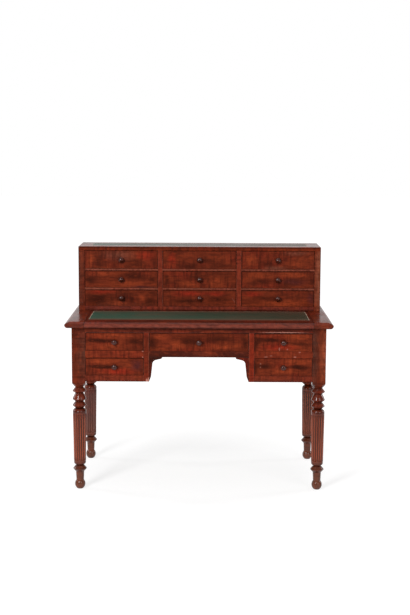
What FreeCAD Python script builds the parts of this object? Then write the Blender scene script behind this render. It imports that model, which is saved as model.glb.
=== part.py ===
"""Stepped writing desk: a table on turned legs, a sliding writing top and an upper case of small drawers.

Millimetres, +Z up, the front of the desk faces -Y. The origin is on the floor under the middle of the top.
"""
import FreeCAD, Part
import math
import os
import re
import Sketcher

# Driving sizes, in the order in which the desk is put together
SIZES = {
    # Table top and its edge moulding
    "top_width": 1180.0,
    "top_depth": 636.0,
    "top_thickness": 28.0,
    "desk_height": 762.0,
    "side_overhang": 29.0,
    "front_overhang": 30.0,
    "back_overhang": 10.0,
    "mould_run": 18.0,
    "mould_step": 2.0,
    "nose_drop": 12.0,
    "mould_upper_radius": 26.0,
    "mould_undercut": 11.0,
    "mould_lower_radius": 18.0,
    # Writing slide and its leather
    "side_board_width": 86.5,
    "slide_length": 500.0,
    "slide_travel": 250.0,
    "slide_clearance": 0.8,
    "tongue_height": 8.0,
    "tongue_depth": 8.0,
    "groove_margin": 40.0,
    "leather_thickness": 1.0,
    "leather_side_margin": 12.0,
    "leather_front_margin": 86.0,
    "leather_back_margin": 25.0,
    # Turned legs, from the floor up
    "leg_block": 59.0,
    "foot_flat": 26.0,
    "foot_height": 39.4,
    "foot_radius": 27.7,
    "ankle_bottom_diameter": 33.5,
    "ankle_top_diameter": 37.0,
    "ankle_height": 39.3,
    "ring_rise": 13.8,
    "ring_fall": 18.0,
    "ring_diameter": 59.5,
    "neck_diameter": 30.0,
    "shaft_lower_shoulder": 9.5,
    "shaft_lower_radius": 10.5,
    "shaft_bottom_diameter": 53.0,
    "shaft_height": 232.0,
    "shaft_top_diameter": 60.0,
    "shaft_upper_shoulder": 15.4,
    "shaft_upper_radius": 15.0,
    "collar_diameter": 31.0,
    "bead_diameter": 60.0,
    "bead_valley_diameter": 35.5,
    "bead_curve": 120.0,
    "crest_land": 2.4,
    "lower_bead_rise": 13.6,
    "lower_bead_fall": 17.4,
    "middle_bead_rise": 11.0,
    "middle_bead_fall": 26.9,
    "upper_bead_rise": 9.6,
    "upper_bead_fall": 16.6,
    "block_shoulder": 12.0,
    "flute_count": 16,
    "flute_lower_radius": 4.5,
    "flute_upper_radius": 5.2,
    "flute_lift": 0.9,
    "flute_end_margin": 14.0,
    # Front frame and panels of the table
    "frame_thickness": 24.0,
    "top_rail_height": 22.0,
    "upper_opening": 81.0,
    "mid_rail_height": 31.0,
    "lower_opening": 79.0,
    "bottom_rail_height": 28.0,
    "centre_opening": 82.0,
    "apron_height": 27.0,
    "kneehole_width": 440.0,
    "stile_width": 24.0,
    "pedestal_panel": 10.0,
    "end_panel": 18.0,
    "end_setback": 2.0,
    "back_panel": 12.0,
    "back_setback": 3.0,
    "back_lift": 12.0,
    "dust_board_thickness": 6.0,
    "runner_width": 20.0,
    "runner_height": 12.0,
    # Kneehole brackets
    "bracket_setback": 4.0,
    "bracket_thickness": 20.0,
    "bracket_reach": 58.0,
    "bracket_tip_run": 10.0,
    "bracket_tip_rise": 9.0,
    "bracket_tip_radius": 9.6,
    "bracket_sweep_run": 17.0,
    "bracket_sweep_rise": 4.0,
    "bracket_corner_drop": 31.0,
    "bracket_corner_radius": 20.0,
    "bracket_leg_width": 14.6,
    "bracket_toe_width": 8.6,
    "bracket_toe_height": 23.0,
    # Table drawers
    "drawer_gap": 1.6,
    "run_clearance": 0.3,
    "bottom_rise": 4.0,
    "table_drawer_depth": 500.0,
    "table_front": 20.0,
    "table_side": 10.0,
    "table_bottom": 6.0,
    # Upper case
    "upper_inset": 27.0,
    "upper_depth": 224.0,
    "upper_setback": 383.0,
    "upper_height": 299.0,
    "upper_end": 28.5,
    "upper_top": 18.0,
    "upper_edge_round": 2.5,
    "top_row": 86.5,
    "middle_row": 80.0,
    "bottom_row": 77.5,
    "shelf_thickness": 9.0,
    "base_thickness": 18.0,
    "centre_column": 343.0,
    "divider_width": 23.0,
    "upper_back": 10.0,
    "top_leather_side_margin": 57.0,
    "top_leather_end_margin": 50.0,
    # Upper drawers
    "upper_drawer_depth": 205.0,
    "small_front": 16.0,
    "small_side": 8.0,
    "small_bottom": 5.0,
    # Turned knobs
    "knob_diameter": 26.0,
    "knob_projection": 22.0,
    "knob_base_diameter": 17.0,
    "knob_base_height": 2.5,
    "knob_neck_diameter": 11.0,
    "knob_neck_end": 5.0,
    "knob_cove_radius": 7.0,
    "knob_cove_diameter": 24.0,
    "knob_cove_end": 12.0,
    "knob_rim_height": 13.5,
}

# Lines and planes that several pieces share, as formulas of the sizes above
CASE_SIDE = "(top_width / 2 - side_overhang)"
CASE_FRONT = "(front_overhang - top_depth / 2)"
CASE_BACK = "(top_depth / 2 - back_overhang)"
TOP_FRONT = "(-top_depth / 2)"
TOP_BACK = "(top_depth / 2)"
TOP_UNDERSIDE = "(desk_height - top_thickness)"
SLIDE_SEAM = "(top_width / 2 - side_board_width)"
SLIDE_SIDE = f"({SLIDE_SEAM} - slide_clearance)"
SLIDE_BACK = f"({TOP_FRONT} + slide_length)"
GROOVE_FRONT = f"({TOP_FRONT} + groove_margin)"
TONGUE_FRONT = f"({GROOVE_FRONT} + slide_travel + slide_clearance)"
TONGUE_MIDDLE = f"({TOP_UNDERSIDE} + top_thickness / 2)"
BLOCK_INNER = f"({CASE_SIDE} - leg_block)"
BLOCK_FRONT_END = f"({CASE_FRONT} + leg_block)"
BLOCK_BACK_START = f"({CASE_BACK} - leg_block)"
FRAME_BACK = f"({CASE_FRONT} + frame_thickness)"
BACK_FACE = f"({CASE_BACK} - back_setback)"
BACK_INNER = f"({BACK_FACE} - back_panel)"
END_INNER = f"({CASE_SIDE} - end_setback - end_panel)"
KNEE_SIDE = "(kneehole_width / 2)"
STILE_OUTER = f"({KNEE_SIDE} + stile_width)"
PANEL_INNER = f"({STILE_OUTER} - pedestal_panel)"
OPENINGS_TOP = f"({TOP_UNDERSIDE} - top_rail_height)"
UPPER_SILL = f"({OPENINGS_TOP} - upper_opening)"
LOWER_HEAD = f"({UPPER_SILL} - mid_rail_height)"
LOWER_SILL = f"({LOWER_HEAD} - lower_opening)"
CASE_BOTTOM = f"({LOWER_SILL} - bottom_rail_height)"
CENTRE_SILL = f"({OPENINGS_TOP} - centre_opening)"
KNEE_HEAD = f"({CENTRE_SILL} - apron_height)"
DUST_BOTTOM = f"({TOP_UNDERSIDE} - dust_board_thickness)"
UPPER_SIDE = "(top_width / 2 - upper_inset)"
UPPER_INNER = f"({UPPER_SIDE} - upper_end)"
UPPER_FRONT = f"({TOP_FRONT} + upper_setback)"
UPPER_BACK_FACE = f"({UPPER_FRONT} + upper_depth)"
UPPER_BACK_INNER = f"({UPPER_BACK_FACE} - upper_back)"
UPPER_TOP_FACE = "(desk_height + upper_height)"
UPPER_TOP_UNDER = f"({UPPER_TOP_FACE} - upper_top)"
TOP_ROW_SILL = f"({UPPER_TOP_UNDER} - top_row)"
MIDDLE_ROW_HEAD = f"({TOP_ROW_SILL} - shelf_thickness)"
MIDDLE_ROW_SILL = f"({MIDDLE_ROW_HEAD} - middle_row)"
BOTTOM_ROW_HEAD = f"({MIDDLE_ROW_SILL} - shelf_thickness)"
BOTTOM_ROW_SILL = f"({BOTTOM_ROW_HEAD} - bottom_row)"
DIVIDER_INNER = "(centre_column / 2)"
DIVIDER_OUTER = f"({DIVIDER_INNER} + divider_width)"

# Front of the top boards before their edge is moulded, and the room that each cut leaves beyond a face
CUT_MARGIN = 5.0
ROUGH_FRONT = f"({TOP_FRONT} - {CUT_MARGIN})"

# Heights of the turned leg, each built on the one below it
ANKLE_TOP = "(foot_height + ankle_height)"
RING_CREST = f"({ANKLE_TOP} + ring_rise)"
NECK = f"({RING_CREST} + ring_fall)"
SHAFT_BOTTOM = f"({NECK} + shaft_lower_shoulder)"
SHAFT_TOP = f"({SHAFT_BOTTOM} + shaft_height)"
BEADS_BOTTOM = f"({SHAFT_TOP} + shaft_upper_shoulder)"
LOWER_CREST = f"({BEADS_BOTTOM} + lower_bead_rise)"
LOWER_BEAD_TOP = f"({LOWER_CREST} + lower_bead_fall)"
MIDDLE_CREST = f"({LOWER_BEAD_TOP} + middle_bead_rise)"
MIDDLE_BEAD_TOP = f"({MIDDLE_CREST} + middle_bead_fall)"
UPPER_CREST = f"({MIDDLE_BEAD_TOP} + upper_bead_rise)"
BEADS_TOP = f"({UPPER_CREST} + upper_bead_fall)"
BLOCK_BOTTOM = f"({BEADS_TOP} + block_shoulder)"

# Smallest volume, in cubic millimetres, that counts as material taken off by a cut
LEAST_CUT = 1.0

WORD = re.compile(r"[a-z_]+")

document = FreeCAD.newDocument("stepped_desk")
sub_parts = []


def make_sheet():
    """Write the driving sizes to a sheet, one named cell each."""
    sheet = document.addObject("Spreadsheet::Sheet", "Sizes")
    for row, (name, value) in enumerate(SIZES.items(), start=1):
        sheet.set(f"A{row}", name)
        sheet.set(f"B{row}", str(value))
        sheet.setAlias(f"B{row}", name)
    document.recompute()
    return sheet


def formula(text):
    """Point each size name in a formula at its cell."""
    def cell(word):
        name = word.group()
        return f"Sizes.{name}" if name in SIZES else name
    return WORD.sub(cell, str(text))


def value_of(text):
    """The number that a formula gives with the present sizes."""
    return float(sheet.evalExpression(formula(text)))


def bind(item, **formulas):
    """Tie properties of an item to formulas; a double underscore in a name stands for a dot."""
    for name, text in formulas.items():
        item.setExpression(name.replace("__", "."), formula(text))


def place(item, x="0", y="0", z="0"):
    """Tie the place of an item to formulas."""
    bind(item, Placement__Base__x=x, Placement__Base__y=y, Placement__Base__z=z)


def keep(item, label):
    """Name an item and list it as one of the sub-parts."""
    item.Label = label
    sub_parts.append(item)
    return item


def board(name, x, y, z):
    """A plain board between pairs of formulas along the three axes."""
    item = document.addObject("Part::Box", name)
    bind(item, Length=f"{x[1]} - {x[0]}", Width=f"{y[1]} - {y[0]}", Height=f"{z[1]} - {z[0]}")
    place(item, x[0], y[0], z[0])
    return item


def group(label, items):
    """Several separate solids under one name."""
    item = document.addObject("Part::Compound", label)
    item.Links = items
    return keep(item, label)


def both_sides(inner, outer):
    """The left and the right span between two distances from the middle."""
    return ((f"(-{outer})", f"(-{inner})"), (inner, outer))


def mirrored(name, source):
    """The left-hand twin of a right-hand piece."""
    item = document.addObject("Part::Mirroring", name)
    item.Source = source
    item.Normal = FreeCAD.Vector(1, 0, 0)
    return item


def origin_feature(body, role):
    """One of a body's own origin planes or axes."""
    return next(item for item in body.Origin.OriginFeatures if item.Role == role)


def arc_between(start, end, radius, bulge):
    """The minor arc between two points, bulging to the left (1) or the right (-1) of the way."""
    way = end - start
    middle = (start + end) * 0.5
    half = way.Length / 2
    rise = radius - math.sqrt(max(radius * radius - half * half, 0.0))
    left = FreeCAD.Vector(-way.y, way.x, 0).normalize()
    crown = middle + left * (rise * bulge)
    ends = (end, start) if bulge > 0 else (start, end)
    return Part.Arc(ends[0], crown, ends[1])


def outline(body, plane, points, offset="0"):
    """A closed sketch through points (u, v) given as formulas.

    A point may carry (radius, bulge) as well: the stretch from it to the next point is then an arc.
    """
    sketch = body.newObject("Sketcher::SketchObject", "Outline")
    sketch.AttachmentSupport = [(origin_feature(body, plane), "")]
    sketch.MapMode = "FlatFace"
    bind(sketch, AttachmentOffset__Base__z=offset)
    places = [FreeCAD.Vector(value_of(point[0]), value_of(point[1]), 0) for point in points]
    ends = []
    for index, point in enumerate(points):
        start, end = places[index], places[(index + 1) % len(points)]
        if len(point) > 2:
            radius, bulge = point[2]
            number = sketch.addGeometry(arc_between(start, end, value_of(radius), bulge))
            constraint = sketch.addConstraint(Sketcher.Constraint("Radius", number, value_of(radius)))
            sketch.renameConstraint(constraint, f"radius_{index}")
            sketch.setExpression(f"Constraints.radius_{index}", formula(radius))
            ends.append((2, 1) if bulge > 0 else (1, 2))
        else:
            sketch.addGeometry(Part.LineSegment(start, end))
            ends.append((1, 2))
    for index, point in enumerate(points):
        before = index - 1 if index else len(points) - 1
        meeting = (before, ends[before][1], index, ends[index][0])
        sketch.addConstraint(Sketcher.Constraint("Coincident", *meeting))
        for kind, name, text in (("DistanceX", "u", point[0]), ("DistanceY", "v", point[1])):
            rule = Sketcher.Constraint(kind, -1, 1, index, ends[index][0], value_of(text))
            constraint = sketch.addConstraint(rule)
            sketch.renameConstraint(constraint, f"{name}_{index}")
            sketch.setExpression(f"Constraints.{name}_{index}", formula(text))
    return sketch


def rectangle(u, v):
    """The corners of a rectangle between two pairs of formulas."""
    return [(u[0], v[0]), (u[1], v[0]), (u[1], v[1]), (u[0], v[1])]


def pad(body, sketch, length):
    """Raise a sketch into a solid."""
    feature = body.newObject("PartDesign::Pad", "Pad")
    feature.Profile = sketch
    bind(feature, Length=length)
    document.recompute()
    return feature


def turn(body, kind, sketch):
    """Turn a sketch a full round about its upright axis, to add or to cut."""
    feature = body.newObject(kind, "Turned")
    feature.Profile = sketch
    feature.ReferenceAxis = (sketch, ["V_Axis"])
    feature.Angle = 360
    document.recompute()
    return feature


def pocket(body, sketch, length=None, along_normal=False):
    """Cut a sketch out of a body, right through unless a depth is given, and check that it cut."""
    before = body.Shape.Volume
    feature = body.newObject("PartDesign::Pocket", "Pocket")
    feature.Profile = sketch
    feature.Reversed = along_normal
    if length is None:
        feature.Type = "ThroughAll"
    else:
        bind(feature, Length=length)
    document.recompute()
    if before - body.Shape.Volume < LEAST_CUT:
        raise RuntimeError(f"a pocket of {body.Label} cuts nothing")
    return feature


def new_body(label):
    """An empty body with a name."""
    body = document.addObject("PartDesign::Body", label)
    body.Label = label
    return body


def moulding(edge, inwards):
    """The moulded edge from the flat top to the underside; inwards is the sign towards the board."""
    sign = "+" if inwards > 0 else "-"
    return [
        (f"{edge} {sign} mould_run", "desk_height"),
        (f"{edge} {sign} mould_run", "desk_height - mould_step", ("mould_upper_radius", -inwards)),
        (edge, "desk_height - nose_drop", ("mould_lower_radius", -inwards)),
        (f"{edge} {sign} mould_undercut", TOP_UNDERSIDE),
    ]


def cut_front_edge(body):
    """Shape the front edge of a top board, all along its width."""
    edge = moulding(TOP_FRONT, 1)
    low = f"{TOP_UNDERSIDE} - {CUT_MARGIN}"
    high = f"desk_height + {CUT_MARGIN}"
    outside = f"{ROUGH_FRONT} - {CUT_MARGIN}"
    waste = edge + [(edge[-1][0], low), (outside, low), (outside, high), (edge[0][0], high)]
    pocket(body, outline(body, "YZ_Plane", waste, f"top_width / 2 + {CUT_MARGIN}"))


def top_side_boards():
    """The fixed boards at both ends of the top, mitred at the corner, with a groove for the slide."""
    right = new_body("top_board_right")
    section = moulding("top_width / 2", -1) + [(SLIDE_SEAM, TOP_UNDERSIDE), (SLIDE_SEAM, "desk_height")]
    pad(right, outline(right, "XZ_Plane", section, f"-{TOP_BACK}"), f"{TOP_BACK} - {ROUGH_FRONT}")
    cut_front_edge(right)
    half_groove = "(tongue_height / 2 + slide_clearance)"
    groove = rectangle((GROOVE_FRONT, f"{SLIDE_BACK} + slide_clearance"),
                       (f"{TONGUE_MIDDLE} - {half_groove}", f"{TONGUE_MIDDLE} + {half_groove}"))
    pocket(right, outline(right, "YZ_Plane", groove, SLIDE_SEAM), "tongue_depth + slide_clearance", True)
    keep(right, "top_board_right")
    keep(mirrored("top_board_left", right), "top_board_left")


def top_rear_board():
    """The fixed board behind the slide, under the upper case."""
    depth = (f"({SLIDE_BACK} + slide_clearance)", TOP_BACK)
    rear = board("top_board_rear", (f"(-{SLIDE_SEAM})", SLIDE_SEAM), depth, (TOP_UNDERSIDE, "desk_height"))
    keep(rear, "top_board_rear")


def writing_slide():
    """The sliding part of the top, with its moulded front, two tongues and a recess for the leather."""
    slide = new_body("writing_slide")
    bottom = f"{TOP_UNDERSIDE} + run_clearance"
    section = rectangle((ROUGH_FRONT, SLIDE_BACK), (bottom, "desk_height"))
    pad(slide, outline(slide, "YZ_Plane", section, f"-{SLIDE_SIDE}"), f"2 * {SLIDE_SIDE}")
    cut_front_edge(slide)
    tongue_end = f"({SLIDE_SIDE} + tongue_depth)"
    tongue = rectangle((TONGUE_FRONT, SLIDE_BACK),
                       (f"{TONGUE_MIDDLE} - tongue_height / 2", f"{TONGUE_MIDDLE} + tongue_height / 2"))
    pad(slide, outline(slide, "YZ_Plane", tongue, f"-{tongue_end}"), f"2 * {tongue_end}")
    recess = rectangle(*writing_leather_spans())
    pocket(slide, outline(slide, "XY_Plane", recess, "desk_height"), "leather_thickness")
    keep(slide, "writing_slide")


def writing_leather_spans():
    """The width and the depth of the writing leather, which ends just in front of the upper case."""
    side = f"({SLIDE_SEAM} - leather_side_margin)"
    front = f"({TOP_FRONT} + leather_front_margin)"
    back = f"({UPPER_FRONT} - leather_back_margin)"
    return ((f"(-{side})", side), (front, back))


def leathers():
    """The leather of the slide and of the upper case's top, each flush in its recess."""
    for label, spans, face in (("writing_leather", writing_leather_spans(), "desk_height"),
                               ("upper_leather", top_leather_spans(), UPPER_TOP_FACE)):
        keep(board(label, *spans, (f"({face} - leather_thickness)", face)), label)


def turned_leg(label, x, y):
    """A leg in one piece: square block, three beads, fluted shaft, ring, ankle and ball foot."""
    leg = new_body(label)
    valley = "bead_valley_diameter / 2"
    slope = ("bead_curve", -1)
    profile = [
        ("0", "0"),
        ("foot_flat / 2", "0", ("foot_radius", -1)),
        ("ankle_bottom_diameter / 2", "foot_height"),
        ("ankle_top_diameter / 2", ANKLE_TOP, slope),
        *crest("ring_diameter / 2", RING_CREST, slope),
        ("neck_diameter / 2", NECK, ("shaft_lower_radius", -1)),
        ("shaft_bottom_diameter / 2", SHAFT_BOTTOM),
        ("shaft_top_diameter / 2", SHAFT_TOP, ("shaft_upper_radius", -1)),
        ("collar_diameter / 2", BEADS_BOTTOM, slope),
        *crest("bead_diameter / 2", LOWER_CREST, slope),
        (valley, LOWER_BEAD_TOP, slope),
        *crest("bead_diameter / 2", MIDDLE_CREST, slope),
        (valley, MIDDLE_BEAD_TOP, slope),
        *crest("bead_diameter / 2", UPPER_CREST, slope),
        (valley, BEADS_TOP),
        ("leg_block / 2", BLOCK_BOTTOM),
        ("0", BLOCK_BOTTOM),
    ]
    turn(leg, "PartDesign::Revolution", outline(leg, "XZ_Plane", profile))
    square = rectangle(("-leg_block / 2", "leg_block / 2"), ("-leg_block / 2", "leg_block / 2"))
    pad(leg, outline(leg, "XY_Plane", square, BLOCK_BOTTOM), f"{TOP_UNDERSIDE} - {BLOCK_BOTTOM}")
    shoulder_corners(leg)
    flutes(leg)
    place(leg, x, y)
    keep(leg, label)


def crest(radius, height, slope):
    """The narrow flat at the widest part of a bead, with a curved slope above it."""
    return [(radius, f"{height} - crest_land / 2"), (radius, f"{height} + crest_land / 2", slope)]


def shoulder_corners(leg):
    """Turn the lower corners of the square block to a cone, as a lathe leaves them."""
    corner = "leg_block / 2"
    reach = "leg_block"
    waste = [(corner, BLOCK_BOTTOM), (reach, BLOCK_BOTTOM), (reach, f"{BLOCK_BOTTOM} + {corner}")]
    before = leg.Shape.Volume
    turn(leg, "PartDesign::Groove", outline(leg, "XZ_Plane", waste))
    if before - leg.Shape.Volume < LEAST_CUT:
        raise RuntimeError("the block's corners are not turned")


def flutes(leg):
    """Round-ended hollows all round the tapered shaft, each widening with the shaft."""
    length = "(shaft_height - 2 * flute_end_margin)"
    rod = [
        ("0", "-flute_lower_radius", ("flute_lower_radius", -1)),
        ("flute_lower_radius", "0"),
        ("flute_upper_radius", length, ("flute_upper_radius", -1)),
        ("0", f"{length} + flute_upper_radius"),
    ]
    sketch = outline(leg, "XZ_Plane", rod)
    taper = "(shaft_top_diameter - shaft_bottom_diameter) / 2 / shaft_height"
    lean = FreeCAD.Rotation(FreeCAD.Vector(0, 0, 1), -1)
    sketch.AttachmentOffset = FreeCAD.Placement(FreeCAD.Vector(), lean)
    bind(sketch,
         AttachmentOffset__Base__x=f"shaft_bottom_diameter / 2 + {taper} * flute_end_margin + flute_lift",
         AttachmentOffset__Base__y=f"{SHAFT_BOTTOM} + flute_end_margin",
         AttachmentOffset__Rotation__Angle=f"-atan({taper})")
    before = leg.Shape.Volume
    hollow = turn(leg, "PartDesign::Groove", sketch)
    pattern = leg.newObject("PartDesign::PolarPattern", "Flutes")
    pattern.Originals = [hollow]
    pattern.Axis = (origin_feature(leg, "Z_Axis"), [""])
    pattern.Angle = 360
    bind(pattern, Occurrences="flute_count")
    leg.Tip = pattern
    document.recompute()
    if before - leg.Shape.Volume < LEAST_CUT * SIZES["flute_count"]:
        raise RuntimeError("the flutes cut nothing")


def legs():
    """Four legs under the corners of the case."""
    side = f"({CASE_SIDE} - leg_block / 2)"
    for row, y in (("front", f"{CASE_FRONT} + leg_block / 2"), ("back", f"{CASE_BACK} - leg_block / 2")):
        turned_leg(f"{row}_left_leg", f"-{side}", y)
        turned_leg(f"{row}_right_leg", side, y)


def front_frame():
    """Rails and stiles around the table drawers, flush with the leg blocks."""
    depth = (CASE_FRONT, FRAME_BACK)
    stacks = both_sides(STILE_OUTER, BLOCK_INNER)
    top_rail = board("top_rail", (f"(-{BLOCK_INNER})", BLOCK_INNER), depth, (OPENINGS_TOP, TOP_UNDERSIDE))
    keep(top_rail, "top_rail")
    apron_rail = board("apron_rail", (f"(-{KNEE_SIDE})", KNEE_SIDE), depth, (KNEE_HEAD, CENTRE_SILL))
    keep(apron_rail, "apron_rail")
    group("kneehole_stiles", [board("stile", x, depth, (CASE_BOTTOM, OPENINGS_TOP))
                              for x in both_sides(KNEE_SIDE, STILE_OUTER)])
    group("side_mid_rails", [board("mid_rail", x, depth, (LOWER_HEAD, UPPER_SILL)) for x in stacks])
    group("side_bottom_rails", [board("bottom_rail", x, depth, (CASE_BOTTOM, LOWER_SILL)) for x in stacks])


def kneehole_brackets():
    """Shaped corner pieces set back under the apron rail, each with a thin leg down the stile."""
    tip = f"{KNEE_SIDE} - bracket_reach"
    tip_end = f"{tip} + bracket_tip_run"
    sweep_height = f"{KNEE_HEAD} - bracket_tip_rise - bracket_sweep_rise"
    shape = [
        (KNEE_SIDE, KNEE_HEAD),
        (tip, KNEE_HEAD, ("bracket_tip_radius", -1)),
        (tip_end, f"{KNEE_HEAD} - bracket_tip_rise"),
        (f"{tip_end} + bracket_sweep_run", sweep_height, ("bracket_corner_radius", 1)),
        (f"{KNEE_SIDE} - bracket_leg_width", f"{KNEE_HEAD} - bracket_corner_drop"),
        (f"{KNEE_SIDE} - bracket_toe_width", f"{CASE_BOTTOM} + bracket_toe_height"),
        (KNEE_SIDE, CASE_BOTTOM),
    ]
    right = new_body("bracket_right")
    back = f"-({CASE_FRONT} + bracket_setback + bracket_thickness)"
    pad(right, outline(right, "XZ_Plane", shape, back), "bracket_thickness")
    group("kneehole_brackets", [mirrored("bracket_left", right), right])


def table_panels():
    """Ends, back, the inner sides of the drawer stacks and the board under the slide."""
    between_legs = (BLOCK_FRONT_END, BLOCK_BACK_START)
    between_blocks = (f"(-{BLOCK_INNER})", BLOCK_INNER)
    inside = (FRAME_BACK, BACK_INNER)
    group("table_ends", [board("table_end", x, between_legs, (CASE_BOTTOM, TOP_UNDERSIDE))
                         for x in both_sides(END_INNER, f"({CASE_SIDE} - end_setback)")])
    back = board("table_back", between_blocks, (BACK_INNER, BACK_FACE),
                 (f"({CASE_BOTTOM} + back_lift)", TOP_UNDERSIDE))
    keep(back, "table_back")
    group("pedestal_panels", [board("pedestal_panel", x, inside, (CASE_BOTTOM, DUST_BOTTOM))
                              for x in both_sides(PANEL_INNER, STILE_OUTER)])
    keep(board("dust_board", between_blocks, inside, (DUST_BOTTOM, TOP_UNDERSIDE)), "dust_board")


def drawer_runners():
    """A pair of runners behind the rail under each table drawer."""
    whole_depth = (FRAME_BACK, BACK_INNER)
    between_legs = (BLOCK_FRONT_END, BLOCK_BACK_START)
    inner = both_sides(STILE_OUTER, f"({STILE_OUTER} + runner_width)")
    outer = both_sides(f"({BLOCK_INNER} - runner_width)", END_INNER)
    centre = both_sides(f"({KNEE_SIDE} - runner_width)", PANEL_INNER)
    strips = []
    for spans, depth, sills in ((inner, whole_depth, (UPPER_SILL, LOWER_SILL)),
                                (outer, between_legs, (UPPER_SILL, LOWER_SILL)),
                                (centre, whole_depth, (CENTRE_SILL,))):
        for sill in sills:
            for x in spans:
                strips.append(board("runner", x, depth, (f"({sill} - runner_height)", sill)))
    group("drawer_runners", strips)


def drawer_boards(x, z, y_front, depth, front, side, bottom):
    """The five boards of a drawer that fits an opening: its front first, then sides, back and bottom."""
    left, right = f"({x[0]} + drawer_gap)", f"({x[1]} - drawer_gap)"
    low, high = f"({z[0]} + run_clearance)", f"({z[1]} - drawer_gap)"
    front_back, end = f"({y_front} + {front})", f"({y_front} + {depth})"
    inner_left, inner_right = f"({left} + {side})", f"({right} - {side})"
    back_start = f"({end} - {side})"
    upright = (low, high)
    inner = (inner_left, inner_right)
    floor = (f"({low} + bottom_rise)", f"({low} + bottom_rise + {bottom})")
    return [
        board("drawer_front", (left, right), (y_front, front_back), upright),
        board("drawer_side", (left, inner_left), (front_back, end), upright),
        board("drawer_side", (inner_right, right), (front_back, end), upright),
        board("drawer_back", inner, (back_start, end), upright),
        board("drawer_bottom", inner, (front_back, back_start), floor),
    ]


def knob(label, x, y, z):
    """A turned knob: foot, coved neck and domed head, seated on a drawer front."""
    body = new_body(label)
    rim = "(knob_diameter / 2)"
    dome = "(knob_projection - knob_rim_height)"
    dome_radius = f"(({rim} * {rim} + {dome} * {dome}) / 2 / {dome})"
    profile = [
        ("0", "0"),
        ("knob_base_diameter / 2", "0"),
        ("knob_base_diameter / 2", "knob_base_height"),
        ("knob_neck_diameter / 2", "knob_base_height"),
        ("knob_neck_diameter / 2", "knob_neck_end", ("knob_cove_radius", 1)),
        ("knob_cove_diameter / 2", "knob_cove_end"),
        (rim, "knob_rim_height", (dome_radius, -1)),
        ("0", "knob_projection"),
    ]
    turn(body, "PartDesign::Revolution", outline(body, "XZ_Plane", profile))
    body.Placement.Rotation = FreeCAD.Rotation(FreeCAD.Vector(1, 0, 0), 90)
    place(body, x, y, z)
    keep(body, label)


def middle(span):
    """The point halfway along a span."""
    return f"({span[0]} + {span[1]}) / 2"


def table_drawers():
    """Two drawers in each stack and a wide one over the kneehole."""
    left_stack, right_stack = both_sides(STILE_OUTER, BLOCK_INNER)
    places = {
        "top_left": (left_stack, (UPPER_SILL, OPENINGS_TOP)),
        "bottom_left": (left_stack, (LOWER_SILL, LOWER_HEAD)),
        "centre": ((f"(-{KNEE_SIDE})", KNEE_SIDE), (CENTRE_SILL, OPENINGS_TOP)),
        "top_right": (right_stack, (UPPER_SILL, OPENINGS_TOP)),
        "bottom_right": (right_stack, (LOWER_SILL, LOWER_HEAD)),
    }
    for name, (x, z) in places.items():
        label = f"table_drawer_{name}"
        boards = drawer_boards(x, z, CASE_FRONT, "table_drawer_depth",
                               "table_front", "table_side", "table_bottom")
        keep(boards[0], f"{label}_front")
        group(f"{label}_box", boards[1:])
        knob(f"{label}_knob", middle(x), CASE_FRONT, middle(z))


def upper_case():
    """Ends, top, base, back, dividers and shelves of the upper case."""
    depth = (UPPER_FRONT, UPPER_BACK_INNER)
    inside = (f"(-{UPPER_INNER})", UPPER_INNER)
    upright = ("desk_height", UPPER_TOP_UNDER)
    group("upper_ends", [board("upper_end_board", x, (UPPER_FRONT, UPPER_BACK_FACE), upright)
                         for x in both_sides(UPPER_INNER, UPPER_SIDE)])
    back = board("upper_back_board", inside, (UPPER_BACK_INNER, UPPER_BACK_FACE), upright)
    keep(back, "upper_back_board")
    base = (f"({BOTTOM_ROW_SILL} - base_thickness)", BOTTOM_ROW_SILL)
    keep(board("upper_base", inside, depth, base), "upper_base")
    group("upper_dividers", [board("divider", x, depth, (BOTTOM_ROW_SILL, UPPER_TOP_UNDER))
                             for x in both_sides(DIVIDER_INNER, DIVIDER_OUTER)])
    shelves = ((MIDDLE_ROW_HEAD, TOP_ROW_SILL), (BOTTOM_ROW_HEAD, MIDDLE_ROW_SILL))
    group("upper_shelves", [board("shelf", x, depth, z) for x in upper_columns().values() for z in shelves])


def upper_columns():
    """The clear width of each column of small drawers."""
    left, right = both_sides(DIVIDER_OUTER, UPPER_INNER)
    return {"left": left, "centre": (f"(-{DIVIDER_INNER})", DIVIDER_INNER), "right": right}


def top_leather_spans():
    """The width and the depth of the leather on the upper case."""
    side = f"({UPPER_SIDE} - top_leather_side_margin)"
    front = f"({UPPER_FRONT} + top_leather_end_margin)"
    back = f"({UPPER_BACK_FACE} - top_leather_end_margin)"
    return ((f"(-{side})", side), (front, back))


def upper_top():
    """The top board of the upper case, with eased upper edges and a recess for its leather."""
    top = new_body("upper_top_board")
    plan = rectangle((f"-{UPPER_SIDE}", UPPER_SIDE), (UPPER_FRONT, UPPER_BACK_FACE))
    slab = pad(top, outline(top, "XY_Plane", plan, UPPER_TOP_UNDER), "upper_top")
    height = value_of(UPPER_TOP_FACE)
    face = next(f"Face{number}" for number, item in enumerate(slab.Shape.Faces, start=1)
                if abs(item.CenterOfMass.z - height) < value_of("leather_thickness") / 2)
    rounding = top.newObject("PartDesign::Fillet", "Eased")
    rounding.Base = (slab, [face])
    bind(rounding, Radius="upper_edge_round")
    document.recompute()
    recess = rectangle(*top_leather_spans())
    pocket(top, outline(top, "XY_Plane", recess, UPPER_TOP_FACE), "leather_thickness")
    keep(top, "upper_top_board")


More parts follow.
